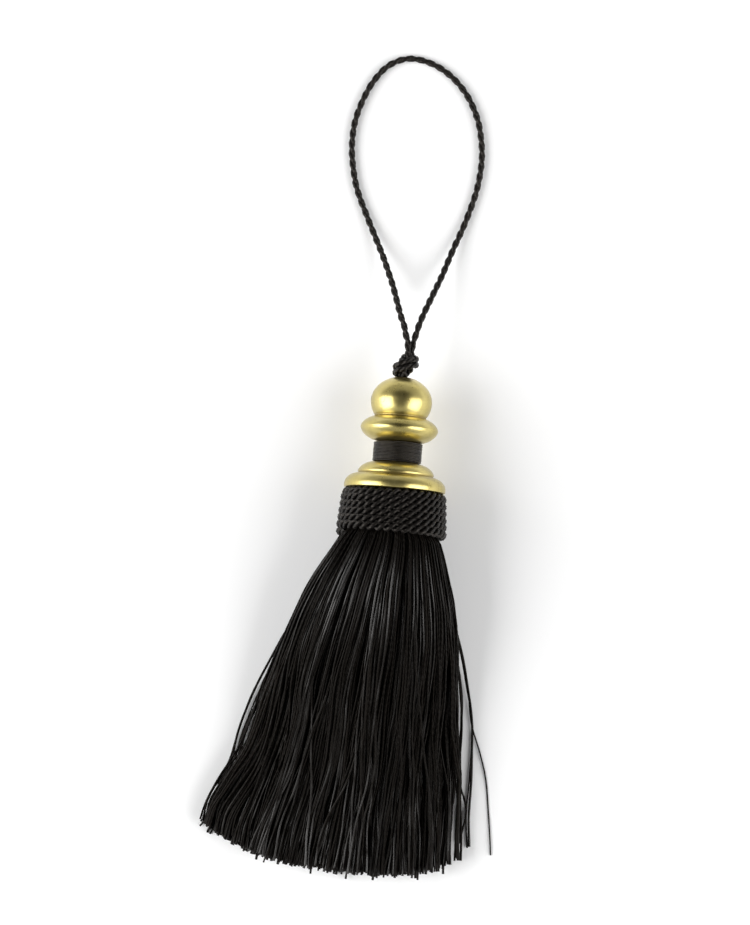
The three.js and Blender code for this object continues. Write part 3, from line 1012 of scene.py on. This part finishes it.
def yarn_piece(name, lines, locks):
    """Yarns along lines. None of them sinks into the table."""
    count, steps = lines.shape[:2]
    thick = random.uniform(0.72, 1.12, (count, 1)) * np.ones((1, steps))
    thick[:, -2:] *= random.uniform(0.95, 1.25, (count, 1))
    lines[..., 2] = np.maximum(lines[..., 2], thick * YARN_RADIUS)
    tone = 0.55 * random.random((count, 1)) ** 1.5 + 0.45 * LOCK_TONE[locks][:, None]
    # Painted sheen and painted shade for each point, read by the yarns' finish.
    shine = painted_yarn_sheen(lines, locks)
    sizes = {"Radius": YARN_RADIUS * MM, "Sides": 6}
    piece = grow(name, yarns, lines, yarn_black, sizes, thick=thick, tone=tone, shine=shine)
    fit_to_frame(piece, "black_yarn", "skirt")


outer_across = outer_lines[:, 10, 0]
cuts = np.quantile(outer_across, (1 / 3, 2 / 3))
third = np.searchsorted(cuts, outer_across)
for k, side in enumerate(("left", "middle", "right")):
    yarn_piece("skirt_yarns_" + side, outer_lines[third == k], outer_lock[third == k])

inner_t = yarn_shares((~is_outer).sum(), 0.84, 7)
inner_lines, inner_lock = place_yarns(disc[~is_outer], inner_t)
yarn_piece("skirt_yarn_ends", inner_lines, inner_lock)

# %% The dark core
CORE_SHARE = 0.52
CORE_RADIUS = 10.7
CORE_TOP = (31.6, 25.0)


def core_piece():
    """A dark core, of a share of the bundle's width. Its first two rings are round, under the collar."""
    around, down = 48, 26
    t = np.linspace(0.0, 0.94, down)
    angle = np.linspace(0, TURN, around, endpoint=False)
    sine, cosine = np.sin(angle), np.cos(angle)
    rings = in_bundle(*np.broadcast_arrays(CORE_SHARE * sine, CORE_SHARE * cosine, t[:, None]))
    top = [np.stack([AXIS_X + CORE_RADIUS * sine, np.full(around, y), AXIS_Z + CORE_RADIUS * cosine], 1)
           for y in CORE_TOP]
    rings = np.concatenate([top, rings[2:]])
    index = np.arange(down * around).reshape(down, around)
    after = np.roll(index, -1, axis=1)
    sides = np.stack([index[:-1], after[:-1], after[1:], index[1:]], -1).reshape(-1, 4)
    faces = [*sides.tolist(), index[0, ::-1].tolist(), index[-1].tolist()]
    core = plain_object("skirt_core", (rings.reshape(-1, 3) * MM).tolist(), faces, yarn_black)
    fit_to_frame(core, "black_yarn", "skirt")


core_piece()

# %% [markdown]
# A few yarns have come away from the bundle, at both edges, and lie on the table beside it. They are
# placed where the photograph shows them. Each group below is the number of its yarns and one line.

# %% The loose yarns
LOOSE = [
    (1, [(19.4, 14.0, 9), (24.2, 2.0, 5), (27.2, -7.5, 2.3), (29.2, -14.0, 1.2), (30.6, -21.7, 0.6),
         (32.9, -28.0, 0.4), (34.9, -34.4, 0.3), (36.1, -42.6, 0.3), (37.2, -52.0, 0.3)]),
    (2, [(19.6, 13.0, 8), (24.2, 2.0, 5), (27.0, -6.0, 2.6), (28.9, -13.5, 1.1), (30.0, -18.2, 0.8),
         (30.6, -22.5, 0.7), (30.7, -27.0, 0.6), (30.9, -34.1, 0.6), (31.1, -43.0, 0.6),
         (32.0, -50.6, 0.6)]),
    (1, [(20.6, 8.0, 8), (25.8, -7.0, 3.0), (28.0, -20.0, 1.2), (28.5, -32.0, 1.1), (29.0, -36.3, 1.2),
         (30.4, -40.1, 1.3), (30.8, -42.0, 1.2), (30.6, -44.5, 0.9), (30.0, -47.8, 0.8),
         (29.8, -49.6, 0.7)]),
    (2, [(20.8, 7.0, 8), (25.4, -6.0, 3.4), (27.4, -14.0, 1.4), (27.9, -20.0, 1.0), (28.2, -28.4, 0.8),
         (28.6, -34.3, 0.8), (28.9, -43.2, 0.7), (29.3, -49.6, 0.6)]),
    (2, [(-9.3, 7.5, 8), (-13.2, 0.8, 5), (-16.4, -5.1, 3.0), (-19.5, -11.8, 1.6), (-21.8, -17.1, 1.0),
         (-23.8, -23.0, 0.8), (-25.2, -28.2, 0.7), (-26.4, -34.8, 0.7), (-28.8, -40.6, 0.9)]),
    (2, [(-13.4, -2.0, 5), (-17.8, -11.5, 2.4), (-21.0, -19.0, 1.2), (-23.5, -27.0, 1.0),
         (-25.6, -34.6, 0.9), (-28.9, -42.0, 0.9)]),
    (2, [(-20.0, -19.0, 3), (-22.6, -26.0, 1.8), (-23.9, -32.0, 1.4), (-25.0, -38.5, 1.2),
         (-29.4, -46.4, 1.0), (-32.2, -50.2, 0.5)]),
    (2, [(-24.0, -34.0, 3), (-26.0, -41.0, 2.0), (-28.0, -47.0, 1.2), (-29.9, -52.0, 0.4)]),
]


def loose_yarns():
    steps = 40
    share = np.linspace(0, 1, steps)
    lines = []
    for count, points in LOOSE:
        line = smooth_line(points, 12)
        down = distances(line)
        even = np.linspace(0, down[-1], steps)
        even = np.stack([np.interp(even, down, line[:, i]) for i in range(3)], 1)
        for i in range(count):
            own = even.copy()
            own[:, 0] += (i - (count - 1) / 2) * 1.2 * YARN_RADIUS
            own[:, 0] += 0.26 * slow_wave(1, share, 1.6)[0] * np.minimum(1, share * 2)
            own[:, 1] += random.normal(0, 0.35) * share
            own[:, 2] += 0.1 * slow_wave(1, share, 3.0)[0]
            lines.append(own)
    return np.array(lines)


loose = loose_yarns()
yarn_piece("skirt_loose_yarns", loose, np.arange(len(loose)))

# %% [markdown]
# The stage is a plain pale surface, two large soft lamps to the left and right, and an even pale sky.
# Gold paint shows what is around it, so the lamps are wide and low, and the part of the sky that the
# camera looks from stays darker than they are.

# %% The floor, the lamps and the sky
def make_floor():
    half = 3000 * MM
    material, tree, inputs = new_material("pale_surface")
    tree.feed(inputs, {"Base Color": (0.96, 0.96, 0.96, 1), "Roughness": 0.7})
    corners = [(-half, -half, 0), (half, -half, 0), (half, half, 0), (-half, half, 0)]
    floor = plain_object("floor", corners, [(0, 1, 2, 3)], material)


def lamp(name, azimuth, from_vertical, distance, size, watts):
    """A square soft lamp that faces the head. Azimuth 0 is to the right, and 90 is beyond the loop."""
    data = bpy.data.lights.new(name, "AREA")
    data.shape = "SQUARE"
    data.size = size * MM
    data.energy = watts
    light = put_in_scene(name, data)
    a, v = math.radians(azimuth), math.radians(from_vertical)
    way = Vector((math.cos(a) * math.sin(v), math.sin(a) * math.sin(v), math.cos(v)))
    light.location = (Vector((AXIS_X, 20.0, AXIS_Z)) + way * distance) * MM
    light.rotation_mode = "QUATERNION"
    light.rotation_quaternion = way.to_track_quat("Z", "Y")


def make_sky(bright, dark):
    """An even sky with a soft dark patch overhead, a little towards the loop."""
    world = bpy.data.worlds.new("sky")
    world.use_nodes = True
    tree = Tree(world.node_tree)
    sockets = {0: tree.node("ShaderNodeTexCoord")["Generated"], 1: (0.0, 0.26, 0.966)}
    overhead = tree.node("ShaderNodeVectorMath", sockets, operation="DOT_PRODUCT")["Value"]
    sockets = {"Value": overhead, "From Min": 0.55, "From Max": 0.90, "To Min": bright, "To Max": dark}
    patch = tree.node("ShaderNodeMapRange", sockets, interpolation_type="SMOOTHSTEP")["Result"]
    background = world.node_tree.nodes["Background"]
    tree.feed(background.inputs, {"Color": (1.0, 1.0, 1.0, 1), "Strength": patch})
    bpy.context.scene.world = world


make_floor()
lamp("left_lamp", azimuth=189, from_vertical=58, distance=1000, size=900, watts=12.5)
lamp("right_lamp", azimuth=-10, from_vertical=56, distance=1000, size=900, watts=9.0)
make_sky(bright=0.52, dark=0.05)
bpy.context.scene.view_settings.view_transform = "Standard"
